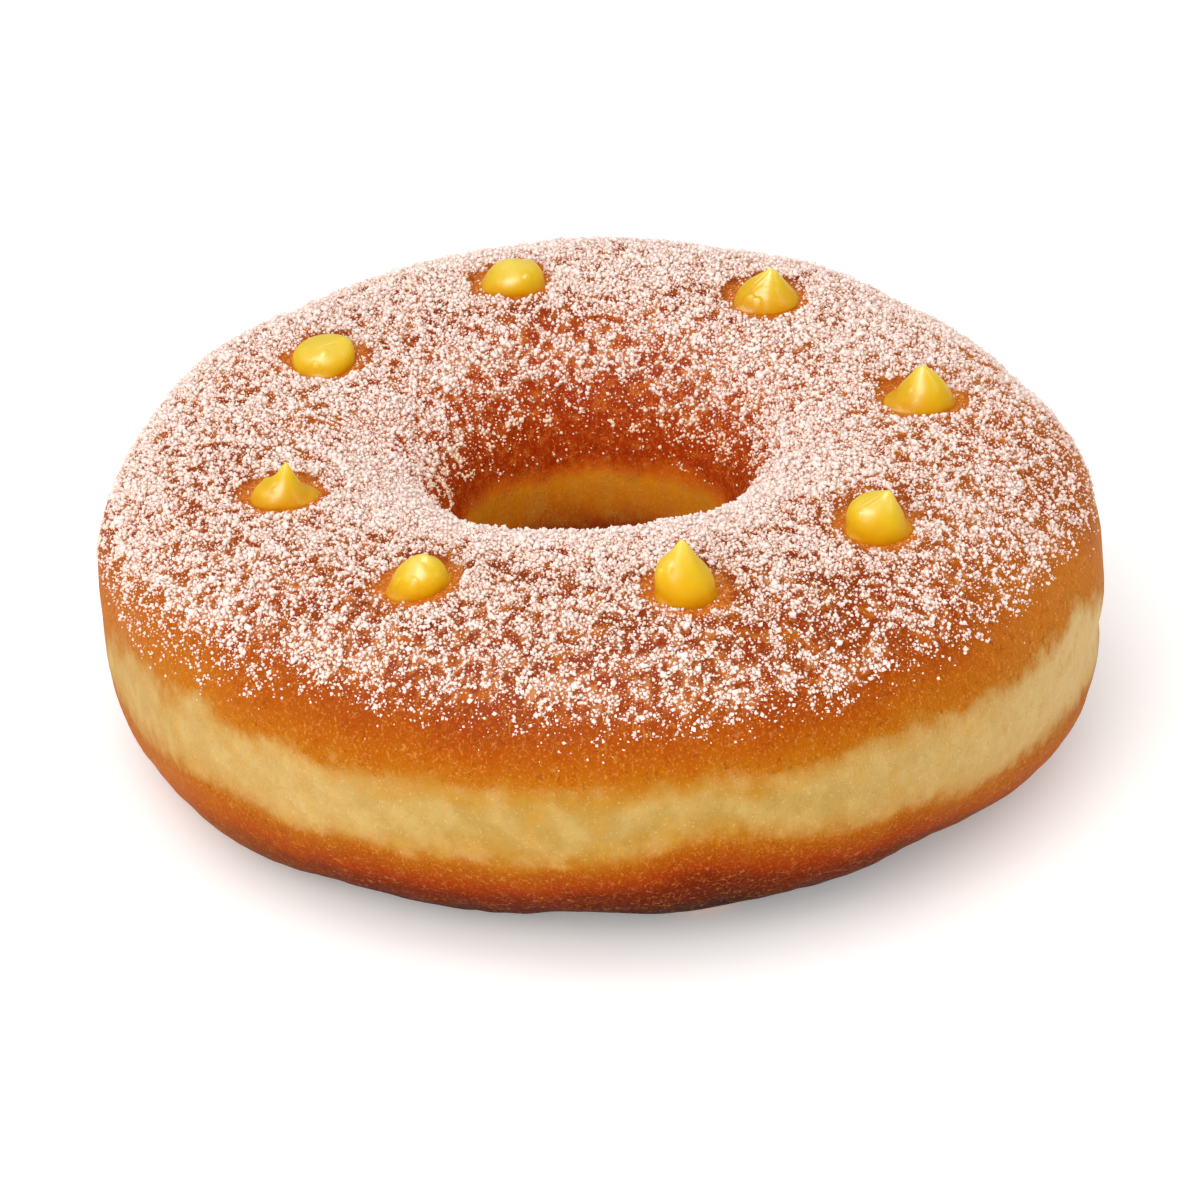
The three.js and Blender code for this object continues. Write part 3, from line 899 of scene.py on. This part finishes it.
def grainMesh(random, skin, normal, lift, fullness, kind):
    # one crystal for each place, lifted off the skin: a four- or eight-faced block, turned at
    # random and pulled out of true; and how high over the skin each of its corners lies
    corners, faces = (np.array(part, float) for part in blocks[kind["corners"]])
    faces = faces.astype(int)
    count = len(skin)
    turns = random.normal(size=(count, 4))
    turns /= np.linalg.norm(turns, axis=1, keepdims=True)
    w, x, y, z = turns.T
    rotation = np.stack([
        1 - 2 * (y * y + z * z), 2 * (x * y - w * z), 2 * (x * z + w * y),
        2 * (x * y + w * z), 1 - 2 * (x * x + z * z), 2 * (y * z - w * x),
        2 * (x * z - w * y), 2 * (y * z + w * x), 1 - 2 * (x * x + y * y)], axis=-1)
    rotation = rotation.reshape(count, 3, 3)
    spread = np.clip(random.lognormal(0, grain["sizeSpread"], count), *grain["sizeRange"])
    sizes = kind["size"] * fullness * spread
    shape = corners[None] * random.uniform(*grain["stretch"], (count, 1, 3))
    shape = shape * random.uniform(*grain["cornerShift"], (count, len(corners), 1)) * sizes[:, None, None]
    points = np.einsum("nij,nkj->nki", rotation, shape) + lift[:, None, None] * normal[:, None]
    rise = np.einsum("nki,ni->nk", points, normal)
    points = points + skin[:, None]
    faces = faces[None] + len(corners) * np.arange(count)[:, None, None]
    return points.reshape(-1, 3), faces.reshape(-1, 3), rise


def makeSugar(name, beadShares, material):
    # grains lie in the dough's skin by part of their size, and climb where the net is thick:
    # lift = size * fullness * stands + pile * above * a random share
    kind = sugarKinds[name]
    random = np.random.default_rng(kind["seed"])
    starts = beadShares[kind["beads"]] if "beads" in kind else sugarStarts(random, kind)
    around, across, above = starts.T
    point = doughSurface(around, across)
    normal = slopes(plainDough, around, across)[2]
    heap = np.clip(above, 0, 1) * kind["pile"] * random.uniform(*grain["heapRange"], len(around))
    fullness = grain["alone"] + grain["heapGain"] * smoothStep(*grain["heapFrom"], above)
    lift = kind["size"] * fullness * grain["stands"] + heap
    clear = np.ones(len(around), bool)
    for (dropX, dropY), drop in zip(dropPlaces(), drops.values()):
        clear &= np.hypot(point[:, 0] - dropX, point[:, 1] - dropY) > drop["radius"] + grain["clearOfDrops"]
    starts = (part[clear] for part in (point, normal, lift, fullness))
    points, faces, rise = grainMesh(random, *starts, kind)
    piece = newPiece(name, points, [faces], material)
    writeNumbers(piece, "overSkin", rise)


crystal = {
    "tone": (0.5, 2.0, 0.5),  # width of a blotch, detail, roughness
    "duller": (229, 206, 195),
    "brighter": (241, 224, 216),
    # grains low at the skin: partly sugar melted into the dough, partly painted shade and light bounced off
    # it; their tops whiter, a painted light
    "meltedAndShadedAtSkin": (228, 164, 122),
    "onTop": (244, 235, 231),
    "overSkin": 0.5,  # how strong those two are
    # grains in the hole creamier: a painted warm light bounced off the hole's walls
    "inHole": (244, 208, 158),
    "holeBounceShare": 0.6,
    "holeRadius": 24.0,
    "holeHeight": 27.5,
    "paintedGlow": (255, 214, 194),  # a painted glow, for the light that the grains pass on to one another
    "paintedGlowShare": 0.1,
}


def sugarLook():
    # near white, by a fine noise; by the height over the skin and by the place, which paint shade and light
    # on it; and with a painted glow
    look = Look("sugarCrystals")
    place = look.place()
    x, y, z = look.parts(place)
    tone = look.noise(place, *crystal["tone"])
    colour = look.mix(tone.rise(0.3, 0.7), crystal["duller"], crystal["brighter"])
    # down at the skin the grains take the dough's colour, partly sugar melted into it and partly painted
    # shade and light bounced off it; their tops are whiter, a painted light; and in the hole they are
    # creamier, a painted warm light bounced off the hole's walls
    over = look.written("overSkin")
    colour = look.mix((1 - over.rise(-0.05, 0.22)) * crystal["overSkin"], colour, crystal["meltedAndShadedAtSkin"])
    colour = look.mix(over.rise(0.25, 0.5) * crystal["overSkin"], colour, crystal["onTop"])
    inside = (crystal["holeRadius"] - (x * x + y * y) ** 0.5).rise(0.0, 4.0)
    inHole = inside * (crystal["holeHeight"] - z).rise(0.0, 3.0)
    colour = look.mix(inHole * crystal["holeBounceShare"], colour, crystal["inHole"])
    return look.finish({
        "Base Color": colour, "Roughness": 0.45 + tone * 0.2, "Specular IOR Level": 0.12,
        # the grains' emission is that painted glow
        "Emission Color": paint(crystal["paintedGlow"]), "Emission Strength": crystal["paintedGlowShare"],
    })


# The room and the camera

studio = {
    "floorSize": 6.0,  # metres
    "floorColour": (242, 242, 242),
    "floorGlow": 0.21,
    "worldLight": 0.99,
    "worldShine": 0.28,  # what gloss sees of the world
    "fillColour": (1.0, 0.93, 0.88),
    "cardColour": (1.0, 1.0, 1.0),
    "lamps": {  # watts, width and place in metres, and whether it lights things or only shines on gloss
        "front": (5.2, 0.9, (-0.4, -0.75, 0.6), True),  # a fill for the side that faces the camera
        "overheadCard": (26.0, 0.46, (-0.16, -0.12, 0.62), False),
        "frontCard": (5.0, 0.2, (-0.45, -0.5, 0.5), False),
        "leftCard": (2.6, 0.14, (-0.55, 0.15, 0.55), False),
        "rightCard": (1.6, 0.2, (0.55, 0.0, 0.5), False),
    },
}
view = {
    "elevation": 29.28,  # degrees
    "roll": 2.44,
    "distance": 1037.0,
    "lookHeight": 13.27,
    "scale": 10.471,  # pixels to a millimetre at that distance
    "imageSize": 1200,
    "sensor": 36.0,
    "clip": (0.05, 20.0),  # metres
}


def makeCamera():
    # stands back along the line of sight from the point that is at the picture's middle
    tilt, roll = math.radians(view["elevation"]), math.radians(view["roll"])
    back = Vector((0, -math.cos(tilt), math.sin(tilt)))
    right, up = Vector((1, 0, 0)), Vector((0, math.sin(tilt), math.cos(tilt)))
    rolledRight = right * math.cos(roll) - up * math.sin(roll)
    rolledUp = up * math.cos(roll) + right * math.sin(roll)
    data = bpy.data.cameras.new("photoCamera")
    data.sensor_width = view["sensor"]
    data.lens = view["sensor"] * view["scale"] * view["distance"] / view["imageSize"]
    data.clip_start, data.clip_end = view["clip"]
    camera = inScene("photoCamera", data)
    place = (Vector((0, 0, view["lookHeight"])) + back * view["distance"]) * mm
    turned = Matrix((rolledRight, rolledUp, back)).transposed().to_4x4()
    camera.matrix_world = Matrix.Translation(place) @ turned
    bpy.context.scene.camera = camera


def makeStudio():
    # a pale floor, a white world that gloss sees dimmer, one fill lamp and cards that shine on gloss
    half = studio["floorSize"] / 2
    look = Look("paleFloor")
    material = look.finish({
        "Base Color": paint(studio["floorColour"]), "Roughness": 0.6,
        "Emission Color": (1, 1, 1, 1), "Emission Strength": studio["floorGlow"],
    })
    mesh = bpy.data.meshes.new("floor")
    corners = [(-half, -half, 0), (half, -half, 0), (half, half, 0), (-half, half, 0)]
    mesh.from_pydata(corners, [], [(0, 1, 2, 3)])
    mesh.materials.append(material)
    inScene("floor", mesh)
    world = bpy.data.worlds.new("studio")
    world.use_nodes = True
    tree = world.node_tree
    background = tree.nodes["Background"]
    background.inputs["Color"].default_value = (1, 1, 1, 1)
    rays, strength = (tree.nodes.new("ShaderNode" + kind) for kind in ("LightPath", "MapRange"))
    strength.inputs["To Min"].default_value = studio["worldLight"]
    strength.inputs["To Max"].default_value = studio["worldShine"]
    tree.links.new(rays.outputs["Is Glossy Ray"], strength.inputs["Value"])
    tree.links.new(strength.outputs["Result"], background.inputs["Strength"])
    bpy.context.scene.world = world
    for name, (watts, width, place, lights) in studio["lamps"].items():
        light = bpy.data.lights.new(name, "AREA")
        light.shape, light.size, light.energy = "DISK", width, watts
        lamp = inScene(name, light)
        lamp.visible_diffuse = lights
        light.color = studio["fillColour"] if lights else studio["cardColour"]
        lamp.location = place
        lamp.rotation_euler = (-Vector(place)).to_track_quat("-Z", "Y").to_euler()
    bpy.context.scene.view_settings.view_transform = "Standard"


makeCamera()
makeStudio()
print("camera and studio ready")
makeDough(crustLook())
print("dough ready")
custardMaterial = custardLook()
for dropName in drops:
    makeDrop(dropName, custardMaterial)
print("custard ready")
sugarMaterial = sugarLook()
beadShares = beadStarts()
for kindName in sugarKinds:
    makeSugar(kindName, beadShares, sugarMaterial)
print("sugar ready")
